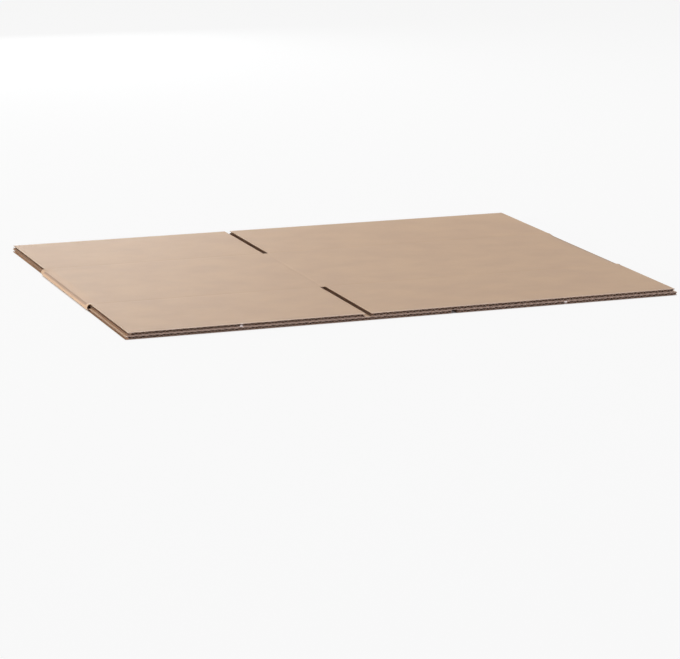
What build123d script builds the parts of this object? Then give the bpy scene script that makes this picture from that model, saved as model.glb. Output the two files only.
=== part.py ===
from build123d import *
from math import ceil, cos, pi, radians, sin, sqrt, tan
import os

os.makedirs("parts", exist_ok=True)

# A slotted box of single-wall corrugated board, folded flat. X runs along the folded length, Y from the
# front flaps to the back flaps, and Z up through the two layers. The origin is under the middle of the
# lower layer.

# Corrugated board
board_thickness = 3.0
liner_thickness = 0.35
medium_thickness = 0.3
flute_pitch = 6.3
upper_flute_phase = 2.1  # from the middle of a layer to the nearest flute crest
lower_flute_phase = -1.4
layer_gap = 0.2  # air between the two layers

# Panels, as the flat box shows them
long_panel = 312.0
short_panel = 228.0
wall_height = 158.0  # between the flap scores
flap_depth = 116.0

# Slots and cut edges
slot_width = 5.5
flap_setback = 3.1  # from the end of the box to the side edges of the upper flaps
lower_overhang_left = 2.0  # the lower flaps reach further out than the upper ones
lower_overhang_right = 2.6

# Folded ends
fold_zone = 13.8  # how far the crushed board reaches in from the end
fold_nose_radius = 2.5
fold_slope = 8.0  # of the top face, down to the nose of the fold, degrees
fold_shoulder_radius = 30.0  # where the flat top face starts to slope
fold_wall = 0.8  # crushed board round the hollow
hollow_length = 6.2  # of the hollow inside the fold, along X

# Scores
score_width = 4.0
score_depth = 0.2

# Glue tab and the seat that it is pressed into
tab_width = 35.0
tab_thickness = 1.1
tab_end_angle = 20.0  # slope of the tab's two ends, degrees
tab_end_margin = 3.0  # from the flap score to the root of the tab
tab_seat_clearance = 2.0  # pressed board past the edge of the tab
joint_gap = 2.0  # between the two panels that meet over the tab

# Worked out from the sizes above
length = long_panel + short_panel
depth = wall_height + 2 * flap_depth
height = 2 * board_thickness + layer_gap
end_x = length / 2
wall_y = wall_height / 2
upper_base = board_thickness + layer_gap
upper_slot_x = short_panel - end_x
lower_slot_x = long_panel - end_x
core_height = board_thickness - 2 * liner_thickness
wave_height = (core_height - medium_thickness) / 2
seat_thickness = board_thickness - tab_thickness
flutes_each_way = ceil(end_x / flute_pitch) + 1
sheet_end = (flutes_each_way + 1.5) * flute_pitch


def channel_depth(from_trough):
    """Height of a hollow between liner and wavy medium, at a share of the pitch from its deepest point."""
    phase = 2 * pi * from_trough
    slope = 2 * pi * wave_height / flute_pitch * sin(phase)
    half_paper = medium_thickness / 2 * sqrt(1 + slope**2)
    return wave_height * (1 + cos(phase)) + medium_thickness / 2 - half_paper


def channel_outline(middle_x, liner_z, way):
    """One flute hollow, flat along its liner and following the wave. Way is 1 above a liner, -1 below it."""
    edge_share = 0.42
    wave_shares = (0.21, 0.07, -0.07, -0.21)
    points = [(middle_x + edge_share * flute_pitch, liner_z)]
    for share in wave_shares:
        points.append((middle_x + share * flute_pitch, liner_z + way * channel_depth(share)))
    points.append((middle_x - edge_share * flute_pitch, liner_z))
    return Wire.make_polygon([Vector(x, 0, z) for x, z in points], close=True)


def fluted_sheet(base_z, flute_phase):
    """A sheet of board wider than the box, with its flutes running front to back."""
    corners = [(-sheet_end, 0), (sheet_end, 0), (sheet_end, board_thickness), (-sheet_end, board_thickness)]
    rim = Wire.make_polygon([Vector(x, 0, base_z + z) for x, z in corners], close=True)
    channels = []
    for number in range(-flutes_each_way, flutes_each_way + 1):
        crest_x = number * flute_pitch + flute_phase
        channels.append(channel_outline(crest_x, base_z + liner_thickness, 1))
        trough_x = crest_x - flute_pitch / 2
        channels.append(channel_outline(trough_x, base_z + board_thickness - liner_thickness, -1))
    section = Face(rim, channels)
    sheet = extrude(section, amount=depth / 2, dir=(0, 1, 0), both=True)
    return sheet


def block(x_range, y_range, z_range):
    """A box between two corners."""
    size = [high - low for low, high in (x_range, y_range, z_range)]
    middle = [(high + low) / 2 for low, high in (x_range, y_range, z_range)]
    return Pos(*middle) * Box(*size)


def die_cut_waste(base_z, slot_x, left_setback, right_setback):
    """What is cut from a layer: two slots, the flaps' outer ends, and the board that the folds replace."""
    board_range = (base_z, base_z + board_thickness)
    strips = [
        (slot_x - slot_width / 2, slot_x + slot_width / 2),
        (-sheet_end, -end_x + left_setback),
        (end_x - right_setback, sheet_end),
    ]
    waste = []
    for low, high in ((-depth / 2, -wall_y), (wall_y, depth / 2)):
        for strip in strips:
            waste.append(block(strip, (low, high), board_range))
    for strip in ((-sheet_end, -end_x + fold_zone), (end_x - fold_zone, sheet_end)):
        waste.append(block(strip, (-wall_y, wall_y), board_range))
    return waste


def layer(base_z, flute_phase, slot_x, left_setback, right_setback):
    """One layer of the flat box, cut from the sheet through its whole thickness."""
    return fluted_sheet(base_z, flute_phase) - die_cut_waste(base_z, slot_x, left_setback, right_setback)


def folded_end():
    """The left end: crushed board that slopes down to a round nose, bent round a hollow open to front and back."""
    slope = radians(fold_slope)
    inner_x = -end_x + fold_zone
    nose_x = -end_x + fold_nose_radius
    nose_top = (nose_x - fold_nose_radius * sin(slope), 0, fold_nose_radius * (1 + cos(slope)))
    shoulder_x = nose_top[0] + (height - nose_top[2]) / tan(slope)
    shoulder_reach = fold_shoulder_radius * tan(slope / 2)
    arc_end_x = shoulder_x + shoulder_reach
    arc_start = (shoulder_x - shoulder_reach * cos(slope), 0, height - shoulder_reach * sin(slope))
    arc_drop = fold_shoulder_radius * (1 - cos(slope / 2))
    arc_middle = (arc_end_x - fold_shoulder_radius * sin(slope / 2), 0, height - arc_drop)
    outside = (
        Line((inner_x, 0, 0), (nose_x, 0, 0))
        + ThreePointArc((nose_x, 0, 0), (-end_x, 0, fold_nose_radius), nose_top)
        + Line(nose_top, arc_start)
        + ThreePointArc(arc_start, arc_middle, (arc_end_x, 0, height))
        + Line((arc_end_x, 0, height), (inner_x, 0, height))
        + Line((inner_x, 0, height), (inner_x, 0, 0))
    )
    bend = extrude(Face(Wire(outside.edges())), amount=wall_y, dir=(0, 1, 0), both=True)
    hollow_x = -end_x + fold_wall + hollow_length / 2
    roof_z = height - (shoulder_x - hollow_x) * tan(slope)
    hollow_ends = [(hollow_x - hollow_length / 2, 0, roof_z / 2), (hollow_x + hollow_length / 2, 0, roof_z / 2)]
    hollow_roof = ThreePointArc(hollow_ends[0], (hollow_x, 0, roof_z - fold_wall), hollow_ends[1])
    hollow_floor = ThreePointArc(hollow_ends[1], (hollow_x, 0, fold_wall), hollow_ends[0])
    hollow_outline = Face(Wire((hollow_roof + hollow_floor).edges()))
    hollow = extrude(hollow_outline, amount=wall_y, dir=(0, 1, 0), both=True)
    parting = block((hollow_x, inner_x), (-wall_y, wall_y), (board_thickness, upper_base))
    return bend - [hollow, parting]


def score(surface_z, start, end):
    """A shallow round groove along a line on one of the outer faces."""
    radius = score_width**2 / (8 * score_depth) + score_depth / 2
    lift = radius - score_depth
    above = surface_z > 0
    line = Vector(*end) - Vector(*start)
    middle = (Vector(*start) + Vector(*end)) / 2
    centre_z = surface_z + lift if above else surface_z - lift
    turn = (0, 90, 0) if abs(line.X) > abs(line.Y) else (90, 0, 0)
    return Pos(middle.X, middle.Y, centre_z) * Rot(*turn) * Cylinder(radius, line.length)


def flap_scores(surface_z):
    grooves = []
    for side in (-1, 1):
        grooves.append(score(surface_z, (-end_x, side * wall_y), (end_x, side * wall_y)))
    return grooves


def glue_joint(lower):
    """Where the two ends of the blank meet in the lower layer: a pressed seat, and the tab lying in it."""
    seat_end = lower_slot_x + tab_width + tab_seat_clearance
    seat_start = lower_slot_x - joint_gap
    wall_range = (-wall_y, wall_y)
    lower += block((seat_start, seat_end), wall_range, (0, seat_thickness))
    lower -= block((seat_start, seat_end), wall_range, (seat_thickness, board_thickness))
    seam = (lower_slot_x - joint_gap / 2, lower_slot_x + joint_gap / 2)
    lower -= block(seam, wall_range, (0, seat_thickness))
    root_half = wall_y - tab_end_margin
    tip_half = root_half - tab_width * tan(radians(tab_end_angle))
    tip_x = lower_slot_x + tab_width
    tab_outline = make_face(
        Polyline(
            (seat_start, -root_half),
            (lower_slot_x, -root_half),
            (tip_x, -tip_half),
            (tip_x, tip_half),
            (lower_slot_x, root_half),
            (seat_start, root_half),
            close=True,
        )
    )
    tab = Pos(0, 0, seat_thickness) * extrude(tab_outline, amount=tab_thickness)
    return lower + tab


def flattened_box():
    upper = layer(upper_base, upper_flute_phase, upper_slot_x, flap_setback, flap_setback)
    lower_left = flap_setback - lower_overhang_left
    lower_right = flap_setback - lower_overhang_right
    lower = glue_joint(layer(0, lower_flute_phase, lower_slot_x, lower_left, lower_right))
    left_fold = folded_end()
    right_fold = mirror(left_fold, about=Plane.YZ)
    folded = upper + [lower, left_fold, right_fold]
    wall_score = score(height, (upper_slot_x, -wall_y), (upper_slot_x, wall_y))
    return folded - [*flap_scores(height), *flap_scores(0), wall_score]


box = flattened_box()
export_step(box, "parts/flattened_box.step")
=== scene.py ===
import math

import bpy
import numpy as np
from mathutils import Matrix, Vector


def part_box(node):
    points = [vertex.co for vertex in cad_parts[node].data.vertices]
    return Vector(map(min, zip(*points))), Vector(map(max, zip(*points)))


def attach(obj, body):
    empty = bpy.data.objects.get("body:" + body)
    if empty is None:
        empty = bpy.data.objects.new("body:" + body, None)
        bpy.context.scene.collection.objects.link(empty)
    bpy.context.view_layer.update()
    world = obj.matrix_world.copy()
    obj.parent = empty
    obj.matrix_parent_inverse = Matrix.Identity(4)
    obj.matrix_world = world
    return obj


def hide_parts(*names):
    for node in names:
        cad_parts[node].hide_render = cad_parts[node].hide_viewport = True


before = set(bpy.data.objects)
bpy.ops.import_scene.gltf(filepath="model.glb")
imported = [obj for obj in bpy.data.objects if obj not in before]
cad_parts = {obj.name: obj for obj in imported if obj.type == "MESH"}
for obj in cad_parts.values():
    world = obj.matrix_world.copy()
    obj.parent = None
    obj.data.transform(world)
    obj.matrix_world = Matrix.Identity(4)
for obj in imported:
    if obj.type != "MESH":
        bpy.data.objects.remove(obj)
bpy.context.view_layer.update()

# Lengths are in millimetres up to the last step of each mesh, which writes metres.
millimetre = 0.001
boxLow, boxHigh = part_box("flattened_box")
foldedLength = (boxHigh.x - boxLow.x) / millimetre
foldedDepth = (boxHigh.y - boxLow.y) / millimetre
foldedHeight = (boxHigh.z - boxLow.z) / millimetre
endX = foldedLength / 2
frontY = foldedDepth / 2

board = {
    "thickness": 3.0,
    "liner": 0.33,
    "medium": 0.26,
    "flutePitch": 6.3,
    "fluteDrift": 0.16,  # how far a flute may stray from its place
}

blank = {
    "longPanel": 312.0,
    "shortPanel": 228.0,
    "wallHeight": 158.0,
    "slotWidth": 5.5,
    "tabWidth": 35.0,
    "tabEndSlope": math.tan(math.radians(20)),
    "tabEndMargin": 3.0,
    "flapSetback": 3.1,  # from the folded ends to the side edges of the upper flaps
    "lowerOverhangLeft": 2.0,
    "lowerOverhangRight": 2.6,
    "backTuck": 1.4,  # by which the lower flap at the back left reaches out less than the front one
    "jointGap": 1.0,  # from the slot's middle line to the cut edge of the last panel
}

# The top face slopes down to a thinner round nose at both folded ends.
fold = {
    "noseRadius": 2.5,
    "slope": math.radians(8),
    "shoulderRadius": 30.0,
    "levelReach": 9.0,  # from a flap score inwards, where the slope dies out
    "leastSlope": 0.001,  # share of the slope that is left at the score, so that it can be divided by
    "layerGap": 0.05,  # from each layer to the middle between them, where the box is thinner
    "paperThickness": 0.8,
    "crushStart": 8.0,
    "crushEnd": 3.4,
    "looseness": 0.05,
}

# A pair is where a smooth step starts and ends, counted from the line that its name gives.
pressed = {
    "tabThickness": 1.1,
    "tabGap": 0.03,
    "tabStep": (2.4, -0.9),
    "tabCrush": (3.0, -0.9),
    "tabCorner": 1.0,
    "seatPastTab": 2.0,
    "seatStep": (-1.5, 0.5),
    "wallEdge": (3.0, 0.5),
    "scoreDip": 0.22,
    "scoreCrush": 0.45,
    "scoreHalfWidth": 1.6,
    "scorePastFold": (-0.5, 4.0),
    "wallScoreEnd": (2.0, -1.0),
    "edgeCrush": 0.1,
    "edgeReach": 0.9,
    "edgeUneven": 0.25,
    "edgeSquash": 1.6,  # times the dip of the outer face, over the whole thickness
    "layerShift": 90,  # these two keep the edges of both layers and of both sides from matching
    "sideShift": 40,
}

# Wavelengths and seed of each soft uneven line.
uneven = {
    "foldSlack": ((31, 17, 9), 4),
    "outerEdge": ((7.1, 12.7, 23, 51), 11),
    "innerEdge": ((6.3, 10.9, 27), 5),
    "flutes": ((14.3, 37, 88), 21),
}

# Two small pale spots of torn paper at the front edge, where the two layers meet. Each has its share of
# the folded length, from the left, and 1 on the upper layer's side or -1 on the lower layer's.
torn = {
    "spots": ((0.199, 1), (0.785, -1)),
    "halfWidth": 1.5,
    "reach": 1.6,
    "height": 1.3,
}

# Where the mesh has its columns and rows. Columns are counted along the blank from the line that their
# name gives, and rows inwards from the cut edge or outwards from the flap score.
meshDetail = {
    "columnsPerFlute": 8,
    "leastGap": 0.22,
    "besideTab": (-1, 1),
    "atScore": (-1.6, -0.8, 0, 0.8, 1.6),
    "roundFold": 17,
    "besideFold": (3.8, 5, 6.5, 8, 9.5, 11, 12, 13.2, 14.5),
    "atSeat": (-1.5, -0.9, -0.3, 0.5),
    "atTorn": (-2, -1.5, -1.1, -0.6, 0, 0.6, 1.1, 1.5, 2),
    "scoreRows": (-9, -6, -3.4, -1.6, 0, 1.6, 3.4),
    "outerScoreRows": (-7.5, -4.5, -2.4, -0.8, 0.8, 2.4),
    "outerEdgeRows": (0, 0.25, 0.6, 1.1, 1.8, 2.8, 5),
    "innerEdgeRows": (0, 0.6, 1.2, 2.4, 5),
    "mediumEdgeRows": (0.15, 1, 2.4, 5),
    "sharpAngle": math.radians(50),
}

# Where each score of the blank lies along its developed length, from the free edge of the glue tab.
jointS = blank["tabWidth"]
leftFoldS = jointS + blank["longPanel"]
middleS = leftFoldS + blank["shortPanel"]
rightFoldS = middleS + blank["longPanel"]
blankEndS = rightFoldS + blank["shortPanel"]
seatEndS = blankEndS - blank["tabWidth"] - pressed["seatPastTab"]

wallY = blank["wallHeight"] / 2
wallReach = wallY + 0.01  # takes in the points on the flap scores
halfSlot = blank["slotWidth"] / 2
halfHeight = foldedHeight / 2
seatThickness = board["thickness"] - pressed["tabThickness"]
jointX = blank["longPanel"] - endX
tornSpots = [(share * foldedLength - endX, side) for share, side in torn["spots"]]


def smoothStep(value, start, end):
    # 0 before start and 1 after end, with a smooth rise between them.
    share = np.clip((value - start) / (end - start), 0, 1)
    return share * share * (3 - 2 * share)


def ripple(value, waves, seed):
    # A soft uneven line between -1 and 1: a few sine waves added up, the same every time.
    draw = np.random.default_rng(seed)
    total = np.zeros_like(value, dtype=float)
    for wave in waves:
        total += np.sin(2 * np.pi * (value / (wave * draw.uniform(0.8, 1.25)) + draw.uniform()))
    return total / len(waves)


def besideFold(s):
    # How far along the blank a point lies from the nearer fold, and which way that fold turns.
    fromLeft = s - leftFoldS
    fromRight = s - rightFoldS
    nearLeft = np.abs(fromLeft) < np.abs(fromRight)
    return np.where(nearLeft, fromLeft, fromRight), nearLeft


def flatPlace(s):
    # Where the outer face of a flat panel lies: x, z, and 1 where its inner side is up, else -1.
    lowerLeft = s < leftFoldS
    upper = (s >= leftFoldS) & (s < rightFoldS)
    lowerX = np.where(lowerLeft, jointX - (s - jointS), endX - (s - rightFoldS))
    x = np.where(upper, s - leftFoldS - endX, lowerX)
    z = np.where(upper, foldedHeight, 0.0)
    inward = np.where(upper, -1.0, 1.0)
    return x, z, inward


def foldNose(y):
    # The radius of the round nose of a fold and the slope of the top face above it.
    share = np.maximum(smoothStep(np.abs(y), wallY, wallY - fold["levelReach"]), fold["leastSlope"])
    radius = halfHeight + (fold["noseRadius"] - halfHeight) * share
    return radius, fold["slope"] * share


def topFace(fromEnd, y):
    # Height and tilt of the top face at a distance from the end of the box, past the nose.
    radius, slope = foldNose(y)
    noseTop = radius * (1 + np.cos(slope))
    shoulder = radius * (1 - np.sin(slope)) + (foldedHeight - noseTop) / np.tan(slope)
    reach = fold["shoulderRadius"] * np.tan(slope / 2)
    fromLevel = np.clip((shoulder + reach - fromEnd) / fold["shoulderRadius"], 0, 1)
    tilt = np.minimum(np.arcsin(fromLevel), slope)
    onSlope = foldedHeight - (shoulder - fromEnd) * np.tan(slope)
    onShoulder = foldedHeight - fold["shoulderRadius"] * (1 - np.cos(tilt))
    return np.where(fromEnd < shoulder - reach * np.cos(slope), onSlope, onShoulder), tilt


def outerFace(s, y):
    # The outer face of the folded blank: x and z of the surface, and the direction into the board.
    x, z, inward = flatPlace(s)
    normalX = np.zeros_like(x)
    normalZ = inward.copy()

    # The tab steps up over the last panel, which is pressed thin to take it.
    stepStart, stepEnd = pressed["tabStep"]
    stepUp = smoothStep(s, jointS + stepStart, jointS + stepEnd)
    z = z + np.where(s < leftFoldS, seatThickness * stepUp, 0)

    # The walls slope and bend round at both ends, and the flaps stay flat.
    fromFold, nearLeft = besideFold(s)
    side = np.where(nearLeft, -1.0, 1.0)
    towardsTop = np.where(nearLeft, fromFold, -fromFold)
    inWall = np.abs(y) < wallReach
    radius, slope = foldNose(y)
    upperReach = radius * (1 - np.sin(slope))
    upperAngle = towardsTop / upperReach * (math.pi / 2 - slope)
    angle = np.where(towardsTop > 0, upperAngle, towardsTop / radius * math.pi / 2)
    bent = inWall & (towardsTop < upperReach) & (towardsTop > -radius)
    sloped = inWall & (towardsTop >= upperReach)
    slack = fold["looseness"] * (1 + ripple(y, *uneven["foldSlack"])) * np.cos(angle) ** 2
    bendX = side * (endX - radius + (radius - slack) * np.cos(angle))
    x = np.where(bent, bendX, x)
    z = np.where(bent, radius + (radius - slack) * np.sin(angle), z)
    normalX = np.where(bent, -side * np.cos(angle), normalX)
    normalZ = np.where(bent, -np.sin(angle), normalZ)
    slopeZ, tilt = topFace(towardsTop, y)
    z = np.where(sloped, slopeZ, z)
    normalX = np.where(sloped, -side * np.sin(tilt), normalX)
    normalZ = np.where(sloped, -np.cos(tilt), normalZ)
    return x, z, normalX, normalZ


def edgeDip(s, y, line):
    # How much the cut edges at the front and back are pressed, unevenly along their length.
    x, z, inward = flatPlace(s)
    fade = np.exp(-(frontY - np.abs(y)) / pressed["edgeReach"])
    place = x + pressed["layerShift"] * z + pressed["sideShift"] * np.sign(y)
    strength = 1 - pressed["edgeUneven"] + pressed["edgeUneven"] * ripple(place, *uneven[line])
    return pressed["edgeCrush"] * fade * strength


def outerDip(s, y):
    # How far the outer face is pressed into the board at scores and cut edges.
    fromFold, nearLeft = besideFold(s)
    offStart, offEnd = pressed["scorePastFold"]
    offFold = smoothStep(np.abs(fromFold), halfHeight + offStart, halfHeight + offEnd)
    flapShape = np.exp(-(((np.abs(y) - wallY) / pressed["scoreHalfWidth"]) ** 2)) * offFold
    wallShape = np.exp(-(((s - middleS) / pressed["scoreHalfWidth"]) ** 2))
    fadeStart, fadeEnd = pressed["wallScoreEnd"]
    wallShape = wallShape * smoothStep(np.abs(y), wallY + fadeStart, wallY + fadeEnd)
    dip = pressed["scoreDip"] * np.maximum(flapShape, wallShape)
    return dip + edgeDip(s, y, "outerEdge")


def boardThickness(s, y):
    # Thickness of the board between its two faces, pressed thin at scores, folds and the joint.
    fromFold, nearLeft = besideFold(s)
    wallStart, wallEnd = pressed["wallEdge"]
    inWall = smoothStep(np.abs(y), wallY + wallStart, wallY + wallEnd)
    top, tilt = topFace(np.abs(fromFold), y)
    room = np.where(np.abs(y) < wallReach, top / 2 - fold["layerGap"], board["thickness"])
    thick = np.minimum(board["thickness"], room)
    crush = smoothStep(np.abs(fromFold), fold["crushStart"], fold["crushEnd"]) * inWall
    thick = thick - (thick - fold["paperThickness"]) * crush

    flapShape = np.exp(-(((np.abs(y) - wallY) / pressed["scoreHalfWidth"]) ** 2))
    wallShape = np.exp(-(((s - middleS) / pressed["scoreHalfWidth"]) ** 2)) * inWall
    thick = thick - pressed["scoreCrush"] * np.maximum(flapShape, wallShape) * (1 - crush)

    # The last panel is pressed where the tab lies on it, and the tab is pressed flat.
    stepStart, stepEnd = pressed["seatStep"]
    inSeat = smoothStep(s, seatEndS + stepStart, seatEndS + stepEnd) * inWall
    seatDepth = pressed["tabThickness"] + pressed["tabGap"]
    thick = np.minimum(thick, board["thickness"] - seatDepth * inSeat)
    crushStart, crushEnd = pressed["tabCrush"]
    inTab = smoothStep(s, jointS + crushStart, jointS + crushEnd)
    thick = np.minimum(thick, board["thickness"] - seatThickness * inTab)
    return thick - pressed["edgeSquash"] * edgeDip(s, y, "innerEdge")


def tornShare(s, y):
    # 1 at the middle of a torn spot on the inner paper's front edge, 0 away from it.
    x, z, inward = flatPlace(s)
    atFront = np.exp(-(((y + frontY) / torn["reach"]) ** 2))
    share = np.zeros_like(x)
    for tornX, side in tornSpots:
        inSpot = np.exp(-(((x - tornX) / torn["halfWidth"]) ** 4)) * (inward == -side)
        share = np.maximum(share, atFront * inSpot)
    return share


def tabRows(s, y):
    # Rows drawn in between the tab's sloping ends.
    alongTab = np.clip(jointS - s, 0, blank["tabWidth"])
    tabHalf = wallY - blank["tabEndMargin"] * smoothStep(alongTab, 0, pressed["tabCorner"])
    tabHalf = tabHalf - blank["tabEndSlope"] * alongTab
    return np.where(s < jointS, y * tabHalf / wallY, y)


# What is cut from the flaps' rows, as lengths along the blank.
flapCuts = [
    (jointS, jointS + halfSlot),
    (leftFoldS - blank["flapSetback"] + blank["lowerOverhangLeft"], leftFoldS + blank["flapSetback"]),
    (middleS - halfSlot, middleS + halfSlot),
    (rightFoldS - blank["flapSetback"], rightFoldS + blank["flapSetback"] - blank["lowerOverhangRight"]),
    (blankEndS - halfSlot, blankEndS),
]
panelEndS = blankEndS - blank["jointGap"]


def inBlank(s, y):
    # Whether a small cell of the sheet, given by its middle, is board or has been cut away.
    if s < jointS:
        return abs(y) < wallY
    if abs(y) < wallY:
        return s < panelEndS
    leftEdge = flapCuts[1][0]
    tucked = y > 0 and leftEdge - blank["backTuck"] < s < leftEdge
    return not tucked and not any(low < s < high for low, high in flapCuts)


def columns(step):
    # Places of the mesh's columns along the blank, finer where it bends, steps or is torn.
    cutEnds = {end for cut in flapCuts for end in cut if end < panelEndS}
    kept = [0, *(jointS + offset for offset in meshDetail["besideTab"]), panelEndS]
    kept += [flapCuts[1][0] - blank["backTuck"], *cutEnds]
    fine = [middleS + offset for offset in meshDetail["atScore"]]
    for foldS in (leftFoldS, rightFoldS):
        roundFold = np.linspace(-halfHeight, halfHeight, meshDetail["roundFold"])
        fine += [foldS + offset for offset in roundFold]
        for offset in meshDetail["besideFold"]:
            fine += [foldS - offset, foldS + offset]
    fine += [seatEndS + offset for offset in meshDetail["atSeat"]]
    for tornX, side in tornSpots:
        lowerS = jointS + (jointX - tornX) if tornX < jointX else rightFoldS + (endX - tornX)
        tornS = leftFoldS + endX + tornX if side > 0 else lowerS
        fine += [tornS + offset for offset in meshDetail["atTorn"]]
    for place in sorted(fine) + list(np.arange(0, panelEndS, step)):
        if min(abs(place - other) for other in kept) > meshDetail["leastGap"]:
            kept.append(place)
    return np.array(sorted(kept))


def rows(fromEdge, fromScore, between):
    # Places of the mesh's rows from front to back, finer at the cut edges and at the scores.
    half = [frontY - offset for offset in fromEdge] + [wallY + offset for offset in fromScore]
    half += list(np.linspace(wallY, frontY, between + 2)[1:-1])
    half += list(np.linspace(0, wallY, between + 2)[1:-1])
    return np.array(sorted(set(np.round([-place for place in half] + half, 3))))


def outerDepths(s, y):
    # Depth of the two faces of the outer paper below the outer face of the board.
    return np.zeros_like(s), np.full_like(s, board["liner"])


def innerDepths(s, y):
    # The inner paper, which is torn and stands proud at the torn spots.
    inside = board["thickness"]
    return inside - board["liner"] - torn["height"] * tornShare(s, y), np.full_like(s, inside)


def mediumDepths(s, y):
    # Depth of the two faces of the wavy paper: a cosine with small differences from flute to flute.
    reach = (board["thickness"] - 2 * board["liner"] - board["medium"]) / 2
    drift = board["fluteDrift"] * ripple(s, *uneven["flutes"])
    phase = 2 * np.pi * (s + drift - middleS) / board["flutePitch"] + np.pi
    slope = 2 * np.pi * reach / board["flutePitch"] * np.sin(phase)
    halfPaper = board["medium"] / 2 * np.sqrt(1 + slope**2)
    middle = board["thickness"] / 2 + reach * np.cos(phase)
    upper = np.maximum(middle - halfPaper, board["liner"])
    lower = np.minimum(middle + halfPaper, board["thickness"] - board["liner"])
    return upper, lower


def plyMesh(sPlaces, yPlaces, depths, finish):
    # One paper of the board as a closed sheet. Finish gives the material of its outer face, its inner
    # face, its edges across the flutes and its edges along them.
    sGrid, yGrid = np.meshgrid(sPlaces, yPlaces, indexing="ij")
    drawnY = tabRows(sGrid, yGrid)
    x, z, normalX, normalZ = outerFace(sGrid, yGrid)
    dip = outerDip(sGrid, drawnY)
    scale = (boardThickness(sGrid, drawnY) - dip) / board["thickness"]
    layers = []
    for depth in depths(sGrid, yGrid):
        down = dip + depth * scale
        layers.append(np.stack([x + normalX * down, drawnY, z + normalZ * down], axis=-1))
    middlesS = (sPlaces[1:] + sPlaces[:-1]) / 2
    middlesY = (yPlaces[1:] + yPlaces[:-1]) / 2
    kept = np.array([[inBlank(s, y) for y in middlesY] for s in middlesS])

    rowCount = len(yPlaces)
    layerSize = len(sPlaces) * rowCount
    corners = np.arange(layerSize).reshape(len(sPlaces), rowCount)
    faces, materials = [], []
    cells = np.argwhere(kept)
    near = np.stack([
        corners[cells[:, 0], cells[:, 1]],
        corners[cells[:, 0] + 1, cells[:, 1]],
        corners[cells[:, 0] + 1, cells[:, 1] + 1],
        corners[cells[:, 0], cells[:, 1] + 1],
    ], axis=-1)
    # Along the blank the outer face's normal is the cross product of y and s.
    faces.append(near)
    materials.append(np.full(len(near), finish[0]))
    faces.append(near[:, ::-1] + layerSize)
    materials.append(np.full(len(near), finish[1]))
    padded = np.pad(kept, 1)
    walls = (
        (padded[:-2, 1:-1], (0, 0), (0, 1)),
        (padded[2:, 1:-1], (1, 1), (1, 0)),
        (padded[1:-1, :-2], (1, 0), (0, 0)),
        (padded[1:-1, 2:], (0, 1), (1, 1)),
    )
    for wallNumber, (neighbour, first, second) in enumerate(walls):
        rim = np.argwhere(kept & ~neighbour)
        a = corners[rim[:, 0] + first[0], rim[:, 1] + first[1]]
        b = corners[rim[:, 0] + second[0], rim[:, 1] + second[1]]
        faces.append(np.stack([a, b, b + layerSize, a + layerSize], axis=-1))
        materials.append(np.full(len(rim), finish[3] if wallNumber < 2 else finish[2]))
    points = np.concatenate([layer.reshape(-1, 3) for layer in layers])
    tornShares = np.tile(tornShare(sGrid, yGrid).ravel(), 2)
    return points, np.concatenate(faces), np.concatenate(materials), tornShares


def joinPlies(name, plies):
    # One mesh from several papers, without the points that no face uses.
    points, faces, materials, tornShares = [], [], [], []
    offset = 0
    for plyPoints, plyFaces, plyMaterials, plyTorn in plies:
        used = np.unique(plyFaces)
        renumber = np.zeros(len(plyPoints), dtype=np.int64)
        renumber[used] = np.arange(len(used))
        points.append(plyPoints[used])
        faces.append(renumber[plyFaces] + offset)
        materials.append(plyMaterials)
        tornShares.append(plyTorn[used])
        offset += len(used)
    points = np.concatenate(points) * millimetre
    faces = np.concatenate(faces)
    materials = np.concatenate(materials).astype(np.int32)
    mesh = bpy.data.meshes.new(name)
    mesh.vertices.add(len(points))
    mesh.vertices.foreach_set("co", points.astype(np.float32).ravel())
    mesh.loops.add(faces.size)
    mesh.loops.foreach_set("vertex_index", faces.astype(np.int32).ravel())
    mesh.polygons.add(len(faces))
    mesh.polygons.foreach_set("loop_start", np.arange(0, faces.size, 4, dtype=np.int32))
    mesh.polygons.foreach_set("material_index", materials)
    mesh.update(calc_edges=True)
    tornAttribute = mesh.attributes.new("torn", "FLOAT", "POINT")
    tornAttribute.data.foreach_set("value", np.concatenate(tornShares).astype(np.float32))
    mesh.validate()
    mesh.shade_smooth()
    mesh.set_sharp_from_angle(angle=meshDetail["sharpAngle"])
    piece = bpy.data.objects.new(name, mesh)
    bpy.context.scene.collection.objects.link(piece)
    return piece


# The board's colours, and what gives each finish its grain. Noise scales are waves a metre along the
# three axes. A range is the values that count as 0 and 1 and, where four are given, what they become.
# A bump is its strength and its depth in metres.
kraft = {
    "face": (0.605, 0.400, 0.258),
    "faceWarm": (0.655, 0.440, 0.278),
    "facePale": (0.660, 0.460, 0.312),
    # Painted highlight: a paler, more neutral colour on the last millimetres before the front and back
    # cut edges.
    "faceRimHighlight": (0.740, 0.580, 0.470),  # the last millimetres before a cut edge
    "rimHighlightReach": 4.0,
    "fibreDark": (0.40, 0.25, 0.15),
    "medium": (0.47, 0.315, 0.225),
    "cut": (0.50, 0.345, 0.255),
    "cutDark": (0.34, 0.22, 0.155),
    # innerCut is a painted highlight: the inner papers' cut edges, where the two layers meet, are
    # painted much paler than the outer ones.
    "innerCut": (0.74, 0.57, 0.47),
    "sideCut": (0.40, 0.265, 0.18),
    "sideCutDark": (0.23, 0.145, 0.095),
    "torn": (0.86, 0.76, 0.70),
    "specular": 0.5,
}

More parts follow.
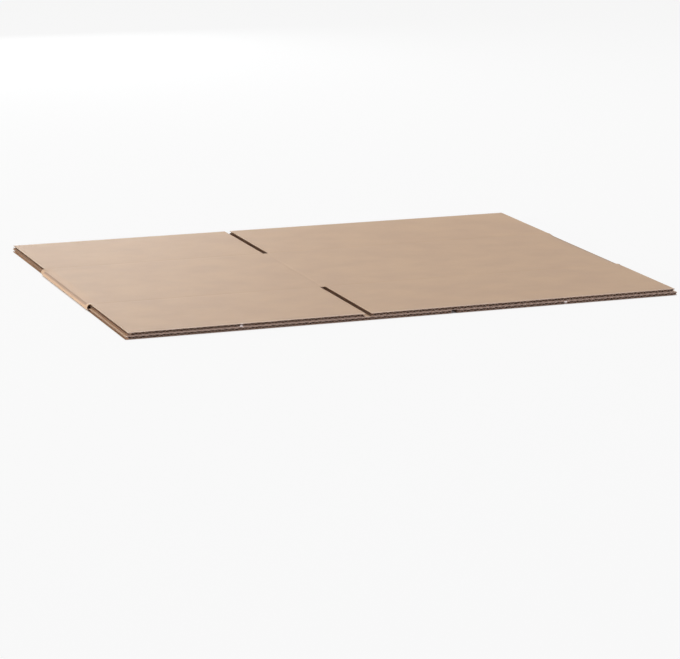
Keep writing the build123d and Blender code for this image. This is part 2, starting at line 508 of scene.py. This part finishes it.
faceLook = {
    "clouds": {"scale": (22, 30, 22), "detail": 3.0, "roughness": 0.55},
    "fibres": {"scale": (260, 1500, 1500), "detail": 5.0, "roughness": 0.65},
    "specks": {"scale": (900, 2600, 2600), "detail": 2.0, "roughness": 0.5},
    "cloudRange": (0.35, 0.65),
    "fibreRange": (0.42, 0.75, 0.0, 0.55),
    "speckRange": (0.66, 0.80, 0.0, 0.5),
    "roughnessRange": (0.3, 0.7, 0.52, 0.68),
    "rimHighlightShare": 0.8,
    "bump": (0.25, 0.00012),
}

cutLook = {
    "fray": {"scale": (1400, 1400, 2600), "detail": 4.0, "roughness": 0.7},
    "frayRange": (0.35, 0.7),
    "tornRange": (0.3, 0.8),
    "roughnessRange": (0.3, 0.7, 0.85, 0.98),
    "bump": (0.5, 0.0002),
}

flutedLook = {
    "fibres": {"scale": (900, 300, 900), "detail": 4.0, "roughness": 0.6},
    "fibreRange": (0.3, 0.7),
    "roughnessRange": (0.3, 0.7, 0.8, 0.95),
    # Painted highlight on the wavy paper: a paler strip where the two layers meet.
    "litStripShare": 0.8,
    "litStripFoot": 1 / 3,  # these two are where the paler strip starts and ends, in half heights
    "litStripFade": 1.3,
    "bump": (0.3, 0.00015),
}


class nodeTree:
    # A short way to add nodes and link them in a material.

    def __init__(self, name):
        self.material = bpy.data.materials.new(name)
        self.material.use_nodes = True
        self.nodes = self.material.node_tree.nodes
        self.links = self.material.node_tree.links
        self.shader = self.nodes["Principled BSDF"]

    def add(self, kind, settings=None, inputs=None):
        node = self.nodes.new(kind)
        for key, value in (settings or {}).items():
            setattr(node, key, value)
        for key, value in (inputs or {}).items():
            if isinstance(value, bpy.types.NodeSocket):
                self.links.new(value, node.inputs[key])
            else:
                node.inputs[key].default_value = value
        return node

    def place(self, scale):
        # Object coordinates stretched by a scale for each axis.
        coordinates = self.add("ShaderNodeTexCoord").outputs["Object"]
        inputs = {"Vector": coordinates, "Scale": scale}
        return self.add("ShaderNodeMapping", inputs=inputs).outputs["Vector"]

    def along(self, axis):
        # Distance from the piece's origin along one axis, the same on both sides.
        coordinates = self.add("ShaderNodeTexCoord").outputs["Object"]
        separate = self.add("ShaderNodeSeparateXYZ", inputs={"Vector": coordinates})
        distance = self.add("ShaderNodeMath", {"operation": "ABSOLUTE"}, {0: separate.outputs[axis]})
        return distance.outputs[0]

    def times(self, first, second):
        return self.add("ShaderNodeMath", {"operation": "MULTIPLY"}, {0: first, 1: second}).outputs[0]

    def noise(self, scale, detail, roughness):
        inputs = {"Vector": self.place(scale), "Scale": 1.0, "Detail": detail, "Roughness": roughness}
        return self.add("ShaderNodeTexNoise", inputs=inputs).outputs["Fac"]

    def remap(self, value, low, high, newLow=0.0, newHigh=1.0):
        inputs = {"Value": value, "From Min": low, "From Max": high, "To Min": newLow, "To Max": newHigh}
        return self.add("ShaderNodeMapRange", inputs=inputs).outputs["Result"]

    def mix(self, factor, first, second):
        # The Mix node's sockets for colours share their names with others, so they go by number.
        node = self.add("ShaderNodeMix", {"data_type": "RGBA"})
        factorSocket, firstSocket, secondSocket = (node.inputs[number] for number in (0, 6, 7))
        for socket, value in ((factorSocket, factor), (firstSocket, first), (secondSocket, second)):
            if isinstance(value, bpy.types.NodeSocket):
                self.links.new(value, socket)
            elif isinstance(value, tuple):
                socket.default_value = (*value, 1.0)
            else:
                socket.default_value = value
        return node.outputs[2]

    def bump(self, height, strength, distance):
        inputs = {"Height": height, "Strength": strength, "Distance": distance}
        return self.add("ShaderNodeBump", inputs=inputs).outputs["Normal"]

    def finish(self, colour, roughness, normal):
        self.links.new(colour, self.shader.inputs["Base Color"])
        self.links.new(roughness, self.shader.inputs["Roughness"])
        self.links.new(normal, self.shader.inputs["Normal"])
        self.shader.inputs["Specular IOR Level"].default_value = kraft["specular"]
        return self.material


def kraftFaceMaterial():
    # Brown paper with soft clouds, fibres along its length and dark specks, and a painted highlight near
    # the cut edges.
    tree = nodeTree("kraftFace")
    clouds = tree.noise(**faceLook["clouds"])
    fibres = tree.noise(**faceLook["fibres"])
    specks = tree.noise(**faceLook["specks"])
    colour = tree.mix(tree.remap(clouds, *faceLook["cloudRange"]), kraft["face"], kraft["faceWarm"])
    colour = tree.mix(tree.remap(fibres, *faceLook["fibreRange"]), colour, kraft["facePale"])
    colour = tree.mix(tree.remap(specks, *faceLook["speckRange"]), colour, kraft["fibreDark"])
    roughness = tree.remap(fibres, *faceLook["roughnessRange"])
    # Painted highlight: the face turns paler towards the front and back cut edges.
    rimStart, rimEnd = ((frontY - inset) * millimetre for inset in (kraft["rimHighlightReach"], 0))
    inRimHighlight = tree.remap(tree.along("Y"), rimStart, rimEnd, 0.0, faceLook["rimHighlightShare"])
    colour = tree.mix(inRimHighlight, colour, kraft["faceRimHighlight"])
    normal = tree.bump(fibres, *faceLook["bump"])
    return tree.finish(colour, roughness, normal)


def cutEdgeMaterial(name, dark, pale):
    # The frayed edge of a paper, pale where it is torn.
    tree = nodeTree(name)
    fray = tree.noise(**cutLook["fray"])
    colour = tree.mix(tree.remap(fray, *cutLook["frayRange"]), dark, pale)
    inTorn = tree.add("ShaderNodeAttribute", {"attribute_name": "torn"}).outputs["Fac"]
    colour = tree.mix(tree.remap(inTorn, *cutLook["tornRange"]), colour, kraft["torn"])
    roughness = tree.remap(fray, *cutLook["roughnessRange"])
    normal = tree.bump(fray, *cutLook["bump"])
    return tree.finish(colour, roughness, normal)


def mediumMaterial():
    # The wavy paper, with a paler strip of painted light just below the middle of the folded height.
    tree = nodeTree("flutedPaper")
    fibres = tree.noise(**flutedLook["fibres"])
    colour = tree.mix(tree.remap(fibres, *flutedLook["fibreRange"]), kraft["medium"], kraft["cut"])
    height = tree.along("Z")
    middle = halfHeight * millimetre
    litStripFoot, litStripFade = (flutedLook[key] * middle for key in ("litStripFoot", "litStripFade"))
    # Painted light: the wavy paper turns pale around the middle of the folded height, where the layers
    # meet.
    aboveFoot = tree.remap(height, litStripFoot, middle)
    belowFade = tree.remap(height, litStripFade, middle, 0.0, flutedLook["litStripShare"])
    colour = tree.mix(tree.times(belowFade, aboveFoot), colour, kraft["innerCut"])
    roughness = tree.remap(fibres, *flutedLook["roughnessRange"])
    normal = tree.bump(fibres, *flutedLook["bump"])
    return tree.finish(colour, roughness, normal)


print("papers of the folded blank")
faceFinish, cutFinish, innerCutFinish, sideCutFinish, mediumFinish = range(5)
outerFinish = (faceFinish, faceFinish, cutFinish, sideCutFinish)
innerFinish = (faceFinish, faceFinish, innerCutFinish, sideCutFinish)
wavyFinish = (mediumFinish, mediumFinish, mediumFinish, sideCutFinish)
scoreRows = meshDetail["scoreRows"]
outerScoreRows = (*meshDetail["outerScoreRows"], *scoreRows)
outerRows = rows(meshDetail["outerEdgeRows"], outerScoreRows, between=3)
innerRows = rows(meshDetail["innerEdgeRows"], scoreRows, between=1)
mediumRows = rows(meshDetail["mediumEdgeRows"], scoreRows[1:], between=0)
outerLiner = plyMesh(columns(board["flutePitch"]), outerRows, outerDepths, outerFinish)
innerLiner = plyMesh(columns(2 * board["flutePitch"]), innerRows, innerDepths, innerFinish)
mediumColumns = columns(board["flutePitch"] / meshDetail["columnsPerFlute"])
medium = plyMesh(mediumColumns, mediumRows, mediumDepths, wavyFinish)
foldedBlank = joinPlies("foldedBlank", [outerLiner, innerLiner, medium])
for material in (
    kraftFaceMaterial(),
    cutEdgeMaterial("cutEdge", kraft["cutDark"], kraft["cut"]),
    # The inner papers' edges are frayed, and innerCut gives them a painted highlight.
    cutEdgeMaterial("innerCutEdge", kraft["cut"], kraft["innerCut"]),
    cutEdgeMaterial("sideCutEdge", kraft["sideCutDark"], kraft["sideCut"]),
    mediumMaterial(),
):
    foldedBlank.data.materials.append(material)
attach(foldedBlank, "root")
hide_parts("flattened_box")
foldedBlank.data.calc_loop_triangles()
print("triangles", len(foldedBlank.data.loop_triangles))


print("floor")
# In metres.
floorSettings = {
    "halfSize": 14.0,
    "drop": 0.0001,  # below the underside of the box
    "bounce": 0.9,
    "roughness": 0.9,
    "shadowShare": 0.12,
    "coverReach": 0.02,  # how near a piece over the floor has to be to hide its white
    "coverOpen": (0.2, 0.6),  # share of open sky at which the white starts and is full
}


def seenRays(nodes, links):
    # 1 for the rays that show a surface to the camera, also by way of a mirror or glass, else 0.
    lightPath = nodes.new("ShaderNodeLightPath")
    total = lightPath.outputs["Is Camera Ray"]
    for name in ("Is Glossy Ray", "Is Transmission Ray"):
        either = nodes.new("ShaderNodeMath")
        either.operation = "MAXIMUM"
        links.new(total, either.inputs[0])
        links.new(lightPath.outputs[name], either.inputs[1])
        total = either.outputs[0]
    return total


def makeFloor():
    # A wide white floor that keeps the box's shadow.
    half = floorSettings["halfSize"]
    mesh = bpy.data.meshes.new("floor")
    corners = [(-half, -half, 0), (half, -half, 0), (half, half, 0), (-half, half, 0)]
    mesh.from_pydata(corners, [], [(0, 1, 2, 3)])
    floor = bpy.data.objects.new("floor", mesh)
    bpy.context.scene.collection.objects.link(floor)
    floor.location.z = -floorSettings["drop"]
    material = bpy.data.materials.new("floorWhite")
    material.use_nodes = True
    nodes, links = material.node_tree.nodes, material.node_tree.links
    shader = nodes["Principled BSDF"]
    bounce = floorSettings["bounce"]
    shader.inputs["Base Color"].default_value = (bounce, bounce, bounce, 1)
    shader.inputs["Roughness"].default_value = floorSettings["roughness"]
    shader.inputs["Specular IOR Level"].default_value = 0.0
    white = nodes.new("ShaderNodeEmission")
    white.inputs["Strength"].default_value = 1.0
    mixShader = nodes.new("ShaderNodeMixShader")
    share = nodes.new("ShaderNodeMath")
    share.operation = "MULTIPLY"
    share.inputs[1].default_value = 1 - floorSettings["shadowShare"]
    links.new(seenRays(nodes, links), share.inputs[0])
    # In the slots, under the upper layer, the floor shows its own shade in place of white.
    sky = nodes.new("ShaderNodeAmbientOcclusion")
    sky.inputs["Distance"].default_value = floorSettings["coverReach"]
    uncovered = nodes.new("ShaderNodeMapRange")
    for name, value in zip(("From Min", "From Max"), floorSettings["coverOpen"]):
        uncovered.inputs[name].default_value = value
    links.new(sky.outputs["AO"], uncovered.inputs["Value"])
    whiteShare = nodes.new("ShaderNodeMath")
    whiteShare.operation = "MULTIPLY"
    links.new(share.outputs[0], whiteShare.inputs[0])
    links.new(uncovered.outputs["Result"], whiteShare.inputs[1])
    links.new(whiteShare.outputs[0], mixShader.inputs["Fac"])
    links.new(shader.outputs[0], mixShader.inputs[1])
    links.new(white.outputs[0], mixShader.inputs[2])
    links.new(mixShader.outputs[0], nodes["Material Output"].inputs["Surface"])
    mesh.materials.append(material)


makeFloor()


print("light")
# Places and sizes are in metres and powers in watts.
lightSettings = {
    "overhead": {"place": (0.1, 0.9, 3.2), "size": 0.8, "power": 39.0, "colour": (1.0, 0.99, 0.97)},
    "left": {"place": (-2.5, 0.2, 0.33), "size": 0.5, "power": 38.0, "colour": (1.0, 0.985, 0.96)},
    "front": {"place": (0.5, -4.2, 0.6), "size": 1.2, "power": 85.0, "colour": (0.88, 0.88, 1.0)},
    "back": {"place": (0.1, 1.7, 0.45), "size": 0.7, "power": 5.5, "colour": (0.95, 0.98, 1.0)},
    "ambient": 0.14,
}


def makeLights():
    aim = Vector((0, 0, 0))
    for name in ("overhead", "left", "front", "back"):
        settings = lightSettings[name]
        data = bpy.data.lights.new(name + "Light", "AREA")
        data.size = settings["size"]
        data.energy = settings["power"]
        data.color = settings["colour"]
        light = bpy.data.objects.new(name + "Light", data)
        light.location = settings["place"]
        light.rotation_euler = (aim - light.location).to_track_quat("-Z", "Y").to_euler()
        bpy.context.scene.collection.objects.link(light)
    world = bpy.data.worlds.new("studio")
    bpy.context.scene.world = world
    world.use_nodes = True
    nodes, links = world.node_tree.nodes, world.node_tree.links
    background = nodes["Background"]
    background.inputs["Color"].default_value = (1, 1, 1, 1)
    strength = nodes.new("ShaderNodeMapRange")
    strength.inputs["To Min"].default_value = lightSettings["ambient"]
    strength.inputs["To Max"].default_value = 1.0
    links.new(seenRays(nodes, links), strength.inputs["Value"])
    links.new(strength.outputs["Result"], background.inputs["Strength"])


makeLights()


print("camera")
# The place is in millimetres and the angles are in degrees.
cameraSettings = {
    "place": (-928.0, -2386.0, 562.0),
    "yaw": 21.40,  # to the right of straight ahead
    "pitch": 13.58,  # down
    "roll": 0.54,
    "focalPixels": 2710.0,
    "imageWidth": 680.0,
    "sensor": 36.0,
}


def makeCamera():
    yaw, pitch, roll = (math.radians(cameraSettings[key]) for key in ("yaw", "pitch", "roll"))
    ahead = math.cos(pitch)
    forward = Vector((math.sin(yaw) * ahead, math.cos(yaw) * ahead, -math.sin(pitch)))
    level = Vector((math.cos(yaw), -math.sin(yaw), 0))
    up = level.cross(forward)
    right = math.cos(roll) * level + math.sin(roll) * up
    top = math.cos(roll) * up - math.sin(roll) * level
    data = bpy.data.cameras.new("camera")
    data.sensor_fit = "HORIZONTAL"
    data.sensor_width = cameraSettings["sensor"]
    data.lens = cameraSettings["focalPixels"] / cameraSettings["imageWidth"] * cameraSettings["sensor"]
    data.clip_end = 100
    camera = bpy.data.objects.new("camera", data)
    turn = Matrix((right, top, -forward)).transposed().to_4x4()
    camera.matrix_world = Matrix.Translation(Vector(cameraSettings["place"]) * millimetre) @ turn
    bpy.context.scene.collection.objects.link(camera)
    bpy.context.scene.camera = camera


makeCamera()
bpy.context.scene.view_settings.view_transform = "Standard"
